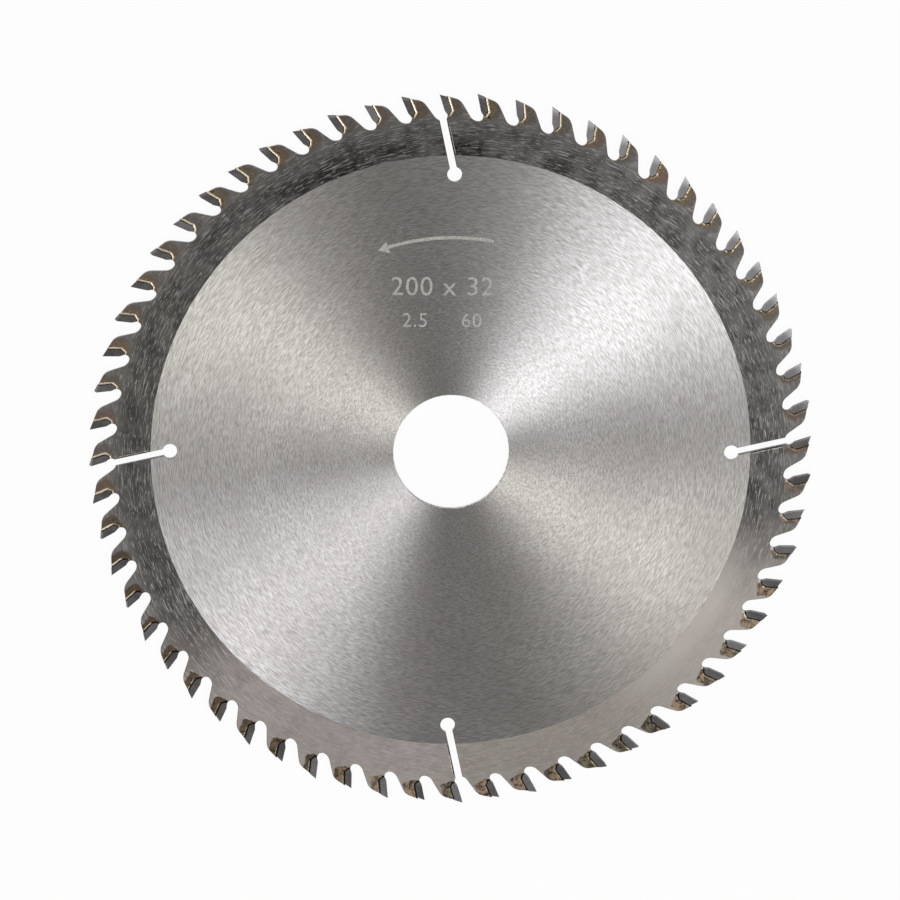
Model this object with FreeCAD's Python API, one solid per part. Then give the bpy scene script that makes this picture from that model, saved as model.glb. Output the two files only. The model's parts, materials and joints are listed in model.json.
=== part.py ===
"""Carbide-tipped circular saw blade, 200 mm across, with sixty teeth.

The blade is a flat steel body with a round bore, four leaning expansion slots that end in
round holes, and sixty teeth round its rim. Each tooth carries a carbide tip, brazed into a
seat that is open towards the gullet. The tips are wider than the body, lean forward by the
hook angle, taper away from the cutting edge and are ground at the top with bevels that
fall to alternate sides. The middle of the body is ground a little below the rim.

Frame: millimetres, with the origin at the middle of the bore and half way through the body.
+Z points out of the front face, and the bore runs along Z. The middles of the four slot
holes lie on the X and Y axes. Seen from +Z the blade cuts anticlockwise.
"""

import FreeCAD, Part
import math
import os

from FreeCAD import Vector

# Blade
blade_diameter = 200.0
bore_diameter = 32.0
tooth_count = 60
first_tooth_angle = 2.53

# Steel body
body_thickness = 1.8
ground_diameter = 166.0
ground_depth = 0.05
ground_edge_slope = 45.0
bore_chamfer = 0.15

# Carbide tips
kerf_width = 2.5
hook_angle = 15.0
relief_angle = 17.5
top_bevel_angle = 12.0
side_relief_angle = 2.5
side_taper_angle = 1.2
tip_length = 6.0
tip_thickness = 1.8
tip_heel_chamfer = 0.8
tip_toe_length = 1.3
tip_toe_setback = 0.45

# Braze between a tip and its seat
braze_gap = 0.12
braze_fillet_leg = 0.5
braze_fillet_height = 0.2

# Steel tooth behind a tip
tooth_land = 5.8
shoulder_drop = 0.12
shoulder_radius = 3.5

# Gullet in front of a tip
gullet_drop = 1.7
gullet_front_radius = 1.3
gullet_back_radius = 2.7

# Expansion slots
slot_count = 4
slot_width = 1.9
slot_lean_angle = 12.5
slot_hole_diameter = 4.1
slot_hole_circle_diameter = 155.4

# Nodes
tips_per_node = 2
braze_joints_per_node = 3

tip_radius = blade_diameter / 2
tooth_pitch_angle = 360.0 / tooth_count
half_body = body_thickness / 2
half_kerf = kerf_width / 2
up = Vector(0, 0, 1)


def unit(angle):
    """Unit vector in the plane of the blade, anticlockwise from X."""
    return Vector(math.cos(math.radians(angle)), math.sin(math.radians(angle)), 0)


# A tooth is drawn as if its cutting point were at the top of the blade, with X towards the
# back of the tooth and Y away from the middle. Places on a tip are measured from the cutting
# point: down along the cutting face, and back square to it.
cutting_point = Vector(0, tip_radius, 0)
down_face = unit(hook_angle - 90)
off_face = unit(hook_angle)


def on_tip(down, back, height=0.0):
    return cutting_point + down_face * down + off_face * back + up * height


def meet(point_a, direction_a, point_b, direction_b):
    """Point where two lines in the plane of the blade cross."""
    gap = point_b - point_a
    turn = direction_a.x * direction_b.y - direction_a.y * direction_b.x
    return point_a + direction_a * ((gap.x * direction_b.y - gap.y * direction_b.x) / turn)


def turned(shape, angle):
    return shape.rotated(Vector(), up, angle)


def turned_point(point, angle):
    along = unit(angle)
    return Vector(point.x * along.x - point.y * along.y, point.x * along.y + point.y * along.x, 0)


def tooth_angle(number):
    """Angle of a tooth's cutting point, anticlockwise from X, for teeth numbered from 0."""
    return first_tooth_angle + number * tooth_pitch_angle


def line(start, end):
    return Part.LineSegment(start, end).toShape()


def arc(middle, radius, start, end):
    """Short arc about a middle between two points on it."""
    bulge = (start - middle).normalize() + (end - middle).normalize()
    return Part.Arc(start, middle + bulge.normalize() * radius, end).toShape()


def half_space(point, normal):
    """Large block on the side of a plane that its normal points to."""
    reach = 4 * tip_length
    block = Part.makeBox(2 * reach, 2 * reach, reach, Vector(-reach, -reach, 0))
    block.Placement = FreeCAD.Placement(point, FreeCAD.Rotation(up, normal))
    return block


def heel_points(offset):
    """Corners of a tip's back and foot, at an offset from them: heel top, heel foot and toe."""
    back = tip_thickness + offset
    foot = tip_length + offset
    cut = tip_heel_chamfer - offset * math.tan(math.radians(22.5)) + offset
    return [on_tip(foot - cut, back), on_tip(foot, back - cut), on_tip(foot, tip_toe_setback)]


def tooth_top():
    """Point and direction of the steel tooth's top, which runs back from the tip."""
    direction = unit(-relief_angle)
    return cutting_point - up.cross(direction) * shoulder_drop, direction


def seat_points(offset):
    """Corners of a tip's seat at an offset from the tip: top, heel top, heel foot and toe."""
    points = heel_points(offset)
    return [meet(points[0], down_face, *tooth_top())] + points


def gullet_points():
    """Gullet floor: foot of its front wall, middle of its front arc and middle of its back arc."""
    toe = seat_points(braze_gap)[-1]
    front_radius = min(gullet_front_radius, gullet_drop)
    floor = Vector(toe.x - front_radius, toe.y - gullet_drop, 0)
    front_middle = floor + Vector(0, front_radius, 0)
    back_middle = floor + Vector(0, gullet_back_radius, 0)
    return floor, front_middle, back_middle


def tooth_back():
    """Sharp corner behind a tooth's top, and where the tooth's back runs into the next gullet."""
    top_point, top_direction = tooth_top()
    corner = top_point + top_direction * (tooth_land / top_direction.x)
    back_middle = turned_point(gullet_points()[2], -tooth_pitch_angle)
    span = back_middle - corner
    swing = math.degrees(math.asin(gullet_back_radius / span.Length))
    direction = turned_point(span.normalize(), -swing)
    foot = back_middle + up.cross(direction) * -gullet_back_radius
    return corner, direction, foot


def tooth_edges():
    """Outline of the body over one tooth pitch, from a gullet's back to the next one's."""
    seat_top, heel_top, heel_foot, toe = seat_points(braze_gap)
    floor, front_middle, back_middle = gullet_points()
    front_radius = front_middle.y - floor.y
    wall_foot = front_middle + Vector(front_radius, 0, 0)
    top_direction = tooth_top()[1]
    corner, back_direction, next_gullet = tooth_back()
    gullet_start = turned_point(next_gullet, tooth_pitch_angle)
    turn = math.acos(top_direction.dot(back_direction))
    reach = shoulder_radius * math.tan(turn / 2)
    shoulder_start = corner - top_direction * reach
    shoulder_end = corner + back_direction * reach
    shoulder_middle = shoulder_start - up.cross(top_direction) * shoulder_radius
    edges = [
        arc(back_middle, gullet_back_radius, gullet_start, floor),
        arc(front_middle, front_radius, floor, wall_foot),
        line(toe, heel_foot),
        line(heel_foot, heel_top),
        line(heel_top, seat_top),
        line(seat_top, shoulder_start),
        arc(shoulder_middle, shoulder_radius, shoulder_start, shoulder_end),
        line(shoulder_end, next_gullet),
    ]
    if toe.y > wall_foot.y:
        edges.append(line(wall_foot, toe))
    return edges


def expansion_slot():
    """Cutter for a slot that leans out of a hole on the X axis and opens into a gullet."""
    hole_middle = unit(0) * (slot_hole_circle_diameter / 2)
    hole = Part.makeCylinder(slot_hole_diameter / 2, 2 * body_thickness, hole_middle - up * body_thickness)
    floor, front_middle, back_middle = gullet_points()
    length = (back_middle.Length - hole_middle.x) / math.cos(math.radians(slot_lean_angle))
    slot = Part.makeBox(length, slot_width, 2 * body_thickness, Vector(0, -slot_width / 2, -body_thickness))
    slot.rotate(Vector(), up, slot_lean_angle)
    slot.translate(hole_middle)
    return hole.fuse(slot)


def centre_cutters():
    """Cutters for the bore, its chamfers and the two shallow ground discs."""
    bore_radius = bore_diameter / 2
    half_ground = half_body - ground_depth
    spread = ground_depth / math.tan(math.radians(ground_edge_slope))
    cutters = [Part.makeCylinder(bore_radius, 2 * body_thickness, -up * body_thickness)]
    for side in (up, -up):
        ground_radius = ground_diameter / 2
        ground_disc = Part.makeCone(
            ground_radius, ground_radius + 2 * spread, 2 * ground_depth, side * half_ground, side
        )
        chamfer = Part.makeCone(
            bore_radius, bore_radius + 2 * bore_chamfer, 2 * bore_chamfer, side * (half_ground - bore_chamfer), side
        )
        cutters += [ground_disc, chamfer]
    return cutters


def blade_body():
    """Steel body: toothed disc with its bore, ground middle and expansion slots."""
    pitch = tooth_edges()
    outline = [turned(edge, tooth_angle(n) - 90) for n in range(tooth_count) for edge in pitch]
    disc = Part.Face(Part.Wire(Part.__sortEdges__(outline))).extrude(up * body_thickness)
    disc.translate(-up * half_body)
    slots = [turned(expansion_slot(), n * 360 / slot_count) for n in range(slot_count)]
    return disc.cut(centre_cutters() + slots).Solids[0]


def carbide_tip(hand):
    """One tip, with its cutting point on the front (1) or on the back (-1) of the blade."""
    heel_top, heel_foot, toe = heel_points(0)
    knee = on_tip(tip_length - tip_toe_length, 0)
    above = -2 * tip_thickness
    outline = [on_tip(above, 0), on_tip(above, tip_thickness), heel_top, heel_foot, toe, knee]
    blank = Part.Face(Part.makePolygon(outline + outline[:1])).extrude(up * 2 * kerf_width)
    blank.translate(-up * kerf_width)
    corner = on_tip(0, 0, hand * half_kerf)
    top_normal = unit(90 - relief_angle) - up * hand * math.tan(math.radians(top_bevel_angle))
    cutters = [half_space(corner, top_normal)]
    for side in (1, -1):
        flank_normal = (
            up * side
            + off_face * math.tan(math.radians(side_relief_angle))
            + down_face * math.tan(math.radians(side_taper_angle))
        )
        cutters.append(half_space(on_tip(0, 0, side * half_kerf), flank_normal))
    return blank.cut(cutters).Solids[0]


def braze_joint():
    """Braze in the gap behind and under a tip, with a fillet along each face of the body."""
    inner = seat_points(0)
    path = Part.makePolygon(inner)
    crest = half_body + braze_fillet_height
    half_section = [(0, crest), (braze_fillet_leg, half_body), (braze_gap, half_body)]
    section = half_section + [(back, -height) for back, height in reversed(half_section)]
    points = [inner[0] + off_face * back + up * height for back, height in section]
    profile = Part.makePolygon(points + points[:1])
    joint = path.makePipeShell([profile], True, False, 1)
    top_point, top_direction = tooth_top()
    return joint.cut(half_space(top_point, up.cross(top_direction))).Solids[0]


def save(name, solids):
    shape = solids[0] if len(solids) == 1 else Part.makeCompound(solids)
    shape.exportStep(f"parts/{name}.step")


def numbered(name, first, count):
    return f"{name}_{first + 1:02d}_to_{first + count:02d}"


def main():
    os.makedirs("parts", exist_ok=True)
    save("blade_body", [blade_body()])

    tips = [carbide_tip(-1), carbide_tip(1)]
    for first in range(0, tooth_count, tips_per_node):
        teeth = range(first, min(first + tips_per_node, tooth_count))
        group = [turned(tips[n % 2], tooth_angle(n) - 90) for n in teeth]
        save(numbered("carbide_tips", first, len(group)), group)

    joint = braze_joint()
    for first in range(0, tooth_count, braze_joints_per_node):
        teeth = range(first, min(first + braze_joints_per_node, tooth_count))
        group = [turned(joint, tooth_angle(n) - 90) for n in teeth]
        save(numbered("braze_joints", first, len(group)), group)


main()
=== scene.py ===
import json
import math

import bpy
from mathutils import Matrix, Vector

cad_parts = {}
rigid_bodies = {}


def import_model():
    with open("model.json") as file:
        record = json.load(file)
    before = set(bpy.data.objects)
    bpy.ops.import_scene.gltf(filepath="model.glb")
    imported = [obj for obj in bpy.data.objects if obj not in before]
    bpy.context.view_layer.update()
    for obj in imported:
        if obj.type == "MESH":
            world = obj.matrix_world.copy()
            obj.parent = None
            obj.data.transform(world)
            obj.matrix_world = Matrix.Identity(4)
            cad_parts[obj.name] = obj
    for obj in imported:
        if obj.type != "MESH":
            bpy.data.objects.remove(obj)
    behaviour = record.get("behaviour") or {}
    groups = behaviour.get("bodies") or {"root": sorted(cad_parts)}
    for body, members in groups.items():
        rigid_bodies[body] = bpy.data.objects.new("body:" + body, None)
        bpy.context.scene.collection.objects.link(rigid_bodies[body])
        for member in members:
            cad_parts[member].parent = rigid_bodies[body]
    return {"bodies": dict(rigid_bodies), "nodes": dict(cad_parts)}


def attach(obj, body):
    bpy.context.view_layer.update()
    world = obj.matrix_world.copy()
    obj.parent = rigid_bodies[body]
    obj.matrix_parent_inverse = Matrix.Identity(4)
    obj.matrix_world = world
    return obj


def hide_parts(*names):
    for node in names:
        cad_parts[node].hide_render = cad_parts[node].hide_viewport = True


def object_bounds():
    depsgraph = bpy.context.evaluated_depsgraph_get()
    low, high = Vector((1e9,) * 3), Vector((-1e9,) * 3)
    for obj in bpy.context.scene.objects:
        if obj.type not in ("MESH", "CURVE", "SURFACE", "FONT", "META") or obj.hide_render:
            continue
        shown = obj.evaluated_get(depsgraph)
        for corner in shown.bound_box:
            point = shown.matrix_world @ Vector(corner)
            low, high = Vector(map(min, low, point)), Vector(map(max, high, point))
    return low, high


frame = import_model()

bl_info = {
    "name": "Carbide-tipped circular saw blade",
    "version": (1, 0, 0),
    "blender": (4, 5, 0),
    "location": "3D View > Sidebar > Saw blade",
    "description": "Dresses a 200 mm saw blade with sixty brazed tips and sets it in a pale studio",
    "category": "Object",
}

MM = 0.001
BODY = next(iter(frame["bodies"]))
CAD_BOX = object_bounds()
FLOOR_HEIGHT = CAD_BOX[0].z

# Sizes of the blade that the surfaces follow, in metres and degrees
TIP_CIRCLE_RADIUS = 100.0 * MM
TOOTH_COUNT = 60
FIRST_TOOTH_ANGLE = 2.53
HOOK_ANGLE = 15.0
TIP_THICKNESS = 1.8 * MM
TIP_LENGTH = 6.0 * MM
TIP_HEEL_CHAMFER = 0.8 * MM
GROUND_RADIUS = 83.0 * MM
GROUND_FACE_HEIGHT = 0.85 * MM
RIM_FACE_HEIGHT = 0.9 * MM
MIDDLE_OF_GROUND_FACE = 55.0 * MM
MIDDLE_OF_RIM = 88.0 * MM
SLOT_WIDTH = 1.9 * MM
SLOT_COUNT = 4
SLOT_LEAN_ANGLE = 12.5
SLOT_HOLE_DISTANCE = 77.7 * MM

# Sizes of the patterns on the surfaces, in metres
GROUND_CLOUD = 22.0 * MM
STRAY_SCRATCH_WIDTH = 0.2 * MM
STRAY_SCRATCH_LENGTH = 9.0 * MM
NICK_SPACING = 7.0 * MM
RIM_CLOUD = 4.5 * MM
RIM_SHADE_SMUDGE = 11.0 * MM
STAIN = 1.6 * MM
TINT_PATCH = 1.0 * MM
SOOT_FLECK = 0.9 * MM
WEAR_SPOT = 2.5 * MM
CARBIDE_GRAIN = 0.45 * MM
CARBIDE_CLOUD = 3.3 * MM
BRAZE_RIPPLE = 0.9 * MM
ETCH_PIT = 0.35 * MM
SCALE_CRUST = 0.6 * MM

# Depths of the patterns, in metres
GRINDING_DEPTH = 0.02 * MM
BRUSHING_DEPTH = 0.04 * MM
WEAR_DEPTH = 0.03 * MM
CARBIDE_GRAIN_DEPTH = 0.01 * MM
BRAZE_RIPPLE_DEPTH = 0.08 * MM
ETCH_PIT_DEPTH = 0.01 * MM
SCALE_CRUST_DEPTH = 0.02 * MM

# Centres of the arcs that grinding and brushing leave, in metres from the axis
FINE_ARCS_CENTRE = (7.0 * MM, 2.0 * MM)
CROSSING_ARCS_CENTRE = (-7.0 * MM, -3.0 * MM)
STRAY_SCRATCHES_CENTRE = (31.0 * MM, 24.0 * MM)
LONG_STROKES_CENTRE = (6.0 * MM, -5.0 * MM)

# Distances from the axis, in metres, between which one finish of the disc fades into another
RUN_IN_FADE = (64.0 * MM, 82.0 * MM)
INNER_RIM_FADE = (85.0 * MM, 90.0 * MM)
RUBBED_RIM_FADE = (90.0 * MM, 94.5 * MM)

# How far brazing marks a tooth, in metres out from the tip's back and foot. The stains reach less
# far by the shrinkage on some sides of the blade, and by up to the chance on single teeth
STAIN_WANDER = 1.4 * MM
STAIN_FADE = (3.2 * MM, 4.2 * MM)
STAIN_SHRINKAGE = 1.5 * MM
STAIN_CHANCE = 1.0 * MM
BRAZE_WANDER = 0.4 * MM
BRAZE_FADE = (0.6 * MM, 0.78 * MM)
SOOT_WIDTH = 0.2 * MM
LOWER_SOOT_EXTRA = 0.28 * MM
SOOT_FADE = (-0.05 * MM, 0.1 * MM)

# Share of the row of heat tints that a metre takes up
TINTS_PER_METRE = 0.15 / MM

# Places on a tooth and its tip, in metres down the cutting face, and the last one behind it
STAIN_FOOT_FADE = (6.9 * MM, 8.0 * MM)
LOWER_STAIN_LIFT = 0.7 * MM
BRAZE_FOOT_FADE = (5.2 * MM, 6.6 * MM)
SHORT_LINE_MIDDLE = 3.2 * MM
SHORT_LINE_END_FADE = (1.2 * MM, 2.2 * MM)
POINT_HIGHLIGHT_FADE = (0.4 * MM, 3.2 * MM)
BRIGHT_TOE_TOP_FADE = (6.45 * MM, 6.6 * MM)
BRIGHT_TOE_FOOT_FADE = (7.2 * MM, 7.4 * MM)
BRIGHT_TOE_BACK_FADE = (0.8 * MM, 1.0 * MM)

# How the copy of the body is cleaned, bevelled and shaded, in metres and degrees
MERGE_DISTANCE = 0.0005 * MM
FLAT_ANGLE = 0.5
SHARP_ANGLE = 50
SMOOTH_ANGLE = 25
FLAT_NORMAL = 0.999


def linear(code):
    """An sRGB hex value as a linear colour with full alpha."""
    parts = [int(code[i:i + 2], 16) / 255 for i in (1, 3, 5)]
    return [p / 12.92 if p <= 0.04045 else ((p + 0.055) / 1.055) ** 2.4 for p in parts] + [1.0]


# Properties

def size_property(name, description, value):
    return bpy.props.FloatProperty(
        name=name, description=description, default=value, min=0.0,
        precision=5, unit="LENGTH", subtype="DISTANCE",
    )


def colour_property(name, description, code):
    return bpy.props.FloatVectorProperty(
        name=name, description=description, default=linear(code), size=4,
        min=0.0, max=1.0, subtype="COLOR",
    )


class BladeSizes(bpy.types.PropertyGroup):
    """Sizes that a user would change."""

    edge_width: size_property("Broken edge", "Width of the bevel along the steel's edges", 0.09 * MM)
    mark_width: size_property("Grinding mark width", "Width of one mark on the ground face", 0.135 * MM)
    mark_length: size_property("Grinding mark length", "Length of one mark on the ground face", 1.9 * MM)
    stroke_width: size_property("Brush stroke width", "Width of one stroke on the rim", 0.16 * MM)
    stroke_length: size_property("Brush stroke length", "Length of one stroke on the rim", 2.1 * MM)
    burr_length: size_property("Burr length", "Length of the burr beside a slot", 8.6 * MM)
    burr_width: size_property("Burr width", "Width of the burr and its dark foot", 0.46 * MM)
    burr_height: size_property("Burr height", "Height of the burr above the rim", 0.08 * MM)
    figure_height: size_property("Figure height", "Height of the etched figures", 5.2 * MM)
    figure_distance: size_property("Figure distance", "Distance of the figures from the axis", 44 * MM)
    arrow_width: size_property("Arrow width", "Width of the turning arrow's shaft", 0.9 * MM)


class BladeColours(bpy.types.PropertyGroup):
    """Colours that a user would change."""

    ground_steel: colour_property("Ground steel", "Ground middle of the body", "#F7F6F5")
    grinding_mark: colour_property("Grinding mark", "Bottom of the grinding marks", "#C2C0BE")
    rim_scale: colour_property("Scaled rim", "Hardening scale on the rim, at its darkest", "#464544")
    rim_steel: colour_property("Rim steel", "Rim where a brush stroke bares it", "#B1AFAC")
    # Painted light: the lit warm grey of the rim's lower side
    lit_warm_steel: colour_property("Warm rim steel", "Rim where the scale is nearly gone", "#BBB4AF")
    edge_steel: colour_property("Edge steel", "Edges of the body where they are rubbed", "#A09D99")
    carbide: colour_property("Carbide", "Sintered tips", "#757373")
    # Painted highlight: the braze line takes this lighter colour towards the upper left
    braze: colour_property("Braze", "Clean braze metal", "#EADFC5")
    flux: colour_property("Flux", "Burnt flux beside the braze", "#241F1B")
    etching: colour_property("Etching", "Etched figures", "#C9C8C4")


def sizes():
    return bpy.context.scene.saw_blade_sizes


def colours():
    return bpy.context.scene.saw_blade_colours


# Node building

def add(tree, kind, inputs=(), stops=(), **settings):
    """Adds a node with its settings and links.

    An input takes a value, an output or a node, whose first output it then uses.
    """
    node = tree.nodes.new("ShaderNode" + kind)
    for name, value in settings.items():
        setattr(node, name, value)
    for key, value in dict(inputs).items():
        if isinstance(value, bpy.types.Node):
            value = value.outputs[0]
        if isinstance(value, bpy.types.NodeSocket):
            tree.links.new(value, node.inputs[key])
        else:
            node.inputs[key].default_value = value
    if stops:
        points = node.color_ramp.elements
        points.remove(points[1])
        for place, code in stops[1:]:
            points.new(place).color = linear(code)
        points[0].position = stops[0][0]
        points[0].color = linear(stops[0][1])
    return node


def new_material(name):
    """An empty material and its node tree."""
    material = bpy.data.materials.new(name)
    material.use_nodes = True
    material.node_tree.nodes.clear()
    return material, material.node_tree


def polar_places(tree, centre=(0.0, 0.0)):
    """Distance from an axis, direction from it and the point itself, all from Object coordinates."""
    point = add(tree, "TexCoord").outputs["Object"]
    moved = add(tree, "VectorMath", {0: point, 1: (-centre[0], -centre[1], 0)}, operation="ADD")
    flat = add(tree, "VectorMath", {0: moved, 1: (1, 1, 0)}, operation="MULTIPLY")
    radius = add(tree, "VectorMath", {0: flat}, operation="LENGTH").outputs["Value"]
    direction = add(tree, "VectorMath", {0: flat}, operation="NORMALIZE")
    return radius, direction, point


def arc_marks(tree, centre, middle, width, length, seed):
    """Noise drawn out along circles round a centre, with no seam. The length is true at the middle radius."""
    radius, direction = polar_places(tree, centre)[:2]
    across = add(tree, "Math", {0: radius, 1: 1 / width}, operation="MULTIPLY")
    along = add(tree, "VectorMath", {0: direction, 3: middle / length}, operation="SCALE")
    split = add(tree, "SeparateXYZ", {0: along})
    place = add(tree, "CombineXYZ", {0: across, 1: split.outputs[0], 2: split.outputs[1]})
    shifted = add(tree, "VectorMath", {0: place, 1: (seed, seed * 1.7, seed * 2.3)}, operation="ADD")
    return add(tree, "TexNoise", {"Vector": shifted, "Scale": 1.0, "Detail": 1.0})


def side_share(tree, direction, angle, start, end):
    """Share from 0 to 1 of lying towards an angle in degrees, anticlockwise from X, between two cosines."""
    aim = (math.cos(math.radians(angle)), math.sin(math.radians(angle)), 0)
    facing = add(tree, "VectorMath", {0: direction, 1: aim}, operation="DOT_PRODUCT").outputs["Value"]
    return add(tree, "MapRange", {0: facing, 1: start, 2: end}, interpolation_type="SMOOTHSTEP")


def tooth_places(tree):
    """Places from the tip ahead: outside its back and foot, behind its face, down it; and its number."""
    radius, direction = polar_places(tree)[:2]
    split = add(tree, "SeparateXYZ", {0: direction})
    angle = add(tree, "Math", {0: split.outputs[1], 1: split.outputs[0]}, operation="ARCTAN2")
    behind = add(tree, "Math", {0: math.radians(FIRST_TOOTH_ANGLE), 1: angle}, operation="SUBTRACT")
    pitches = add(tree, "Math", {0: behind, 1: TOOTH_COUNT / math.tau}, operation="MULTIPLY")
    share = add(tree, "Math", {0: pitches}, operation="FRACT")
    turn = add(tree, "Math", {0: share, 1: math.tau / TOOTH_COUNT}, operation="MULTIPLY")
    whole = add(tree, "Math", {0: pitches}, operation="FLOOR")
    number = add(tree, "Math", {0: whole, 1: TOOTH_COUNT}, operation="FLOORED_MODULO")
    sine = add(tree, "Math", {0: turn}, operation="SINE")
    cosine = add(tree, "Math", {0: turn}, operation="COSINE")
    across = add(tree, "Math", {0: radius, 1: sine}, operation="MULTIPLY")
    outward = add(tree, "Math", {0: radius, 1: cosine, 2: -TIP_CIRCLE_RADIUS}, operation="MULTIPLY_ADD")
    place = add(tree, "CombineXYZ", {0: across, 1: outward, 2: 0.0})
    hook = math.radians(HOOK_ANGLE)
    off_face = (math.cos(hook), math.sin(hook), 0)
    down_face = (math.sin(hook), -math.cos(hook), 0)
    back = add(tree, "VectorMath", {0: place, 1: off_face}, operation="DOT_PRODUCT").outputs["Value"]
    down = add(tree, "VectorMath", {0: place, 1: down_face}, operation="DOT_PRODUCT").outputs["Value"]
    past_back = add(tree, "Math", {0: back, 1: TIP_THICKNESS}, operation="SUBTRACT")
    past_foot = add(tree, "Math", {0: down, 1: TIP_LENGTH}, operation="SUBTRACT")
    both = add(tree, "Math", {0: past_back, 1: past_foot}, operation="ADD")
    heel_turn = math.sqrt(0.5)
    heel_gap = TIP_HEEL_CHAMFER * heel_turn
    past_heel = add(tree, "Math", {0: both, 1: heel_turn, 2: heel_gap}, operation="MULTIPLY_ADD")
    farther = add(tree, "Math", {0: past_back, 1: past_foot}, operation="MAXIMUM")
    outside = add(tree, "Math", {0: farther, 1: past_heel}, operation="MAXIMUM")
    return outside, back, down, number


# Materials

def ground_steel_material():
    """Ground tool steel: fine arcs from the wheel draw the light out into broad rays from the bore."""
    material, tree = new_material("Tool steel, wheel ground in arcs")
    radius, direction, point = polar_places(tree)
    middle = MIDDLE_OF_GROUND_FACE
    width = sizes().mark_width
    length = sizes().mark_length
    # A real mark is about 0.03 mm wide and is drawn wider so that it shows. Two sets cross at a low angle
    fine = arc_marks(tree, FINE_ARCS_CENTRE, middle, width, length, 3.0)
    crossing = arc_marks(tree, CROSSING_ARCS_CENTRE, middle, width * 1.2, length * 0.8, 11.0)
    both = add(tree, "Math", {0: fine, 1: crossing}, operation="ADD")
    depth = add(tree, "MapRange", {0: both, 1: 0.79, 2: 1.21}, interpolation_type="SMOOTHSTEP")
    cloud = add(tree, "TexNoise", {"Vector": point, "Scale": 1 / GROUND_CLOUD, "Detail": 3.0})
    tone = add(tree, "MapRange", {0: cloud, 1: 0.3, 2: 0.7}, interpolation_type="SMOOTHSTEP")
    light = add(tree, "MixRGB", {0: tone, 1: linear("#E9E8E7"), 2: colours().ground_steel})
    ground = add(tree, "MixRGB", {0: depth, 1: colours().grinding_mark, 2: light})
    # A few long stray scratches wander off the arcs
    stray = arc_marks(
        tree, STRAY_SCRATCHES_CENTRE, middle, STRAY_SCRATCH_WIDTH, STRAY_SCRATCH_LENGTH, 47.0
    )
    scratch = add(tree, "MapRange", {0: stray, 1: 0.67, 2: 0.75, 4: 0.5}, interpolation_type="SMOOTHSTEP")
    scratched = add(tree, "MixRGB", {0: scratch, 1: ground, 2: linear("#8F8D8A")})
    # Bright nicks, about 0.4 mm across, lie mostly towards the top
    cells = add(tree, "TexVoronoi", {"Vector": point, "Scale": 1 / NICK_SPACING}, voronoi_dimensions="2D")
    near = add(tree, "MapRange", {0: cells, 1: 0.036, 2: 0.02}, interpolation_type="SMOOTHSTEP")
    chosen = add(tree, "Math", {0: cells.outputs["Color"], 1: 0.55}, operation="GREATER_THAN")
    upper = side_share(tree, direction, 105.0, 0.2, 0.9)
    picked = add(tree, "Math", {0: chosen, 1: upper}, operation="MULTIPLY")
    nick = add(tree, "Math", {0: near, 1: picked}, operation="MULTIPLY")
    nicked = add(tree, "MixRGB", {0: nick, 1: scratched, 2: linear("#FFFFFF")})
    # At the lower right the ground face runs into the rim, with only a faint edge between them: its outer
    # part takes the rim's warm grey as painted light and shade
    start, end = RUN_IN_FADE
    outer = add(tree, "MapRange", {0: radius, 1: start, 2: end}, interpolation_type="SMOOTHSTEP")
    lower_right = side_share(tree, direction, 325.0, 0.9, 0.985)
    painted_run_in = add(tree, "Math", {0: outer, 1: lower_right}, operation="MULTIPLY")
    rim_share = add(tree, "Math", {0: painted_run_in, 1: 0.4}, operation="MULTIPLY")
    joined = add(tree, "MixRGB", {0: rim_share, 1: nicked, 2: linear("#BDB6B1")})
    # Towards the lower left the ground face is a little darker, with painted shade
    dull = side_share(tree, direction, 238.0, 0.72, 0.97)
    base = add(tree, "MixRGB", {0: dull, 1: joined, 2: linear("#E1E0E0")}, blend_type="MULTIPLY")
    shader = add(tree, "BsdfPrincipled", {
        "Base Color": base,
        "Metallic": 1.0,
        "Roughness": add(tree, "MapRange", {0: both, 1: 0.7, 2: 1.3, 3: 0.53, 4: 0.47}),
        "Anisotropic": 0.88,
        "Tangent": add(tree, "VectorMath", {0: point, 1: (1, 1, 0)}, operation="MULTIPLY"),
        "Normal": add(tree, "Bump", {"Height": both, "Strength": 0.09, "Distance": GRINDING_DEPTH}),
    })
    add(tree, "OutputMaterial", {0: shader})
    return material


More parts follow.
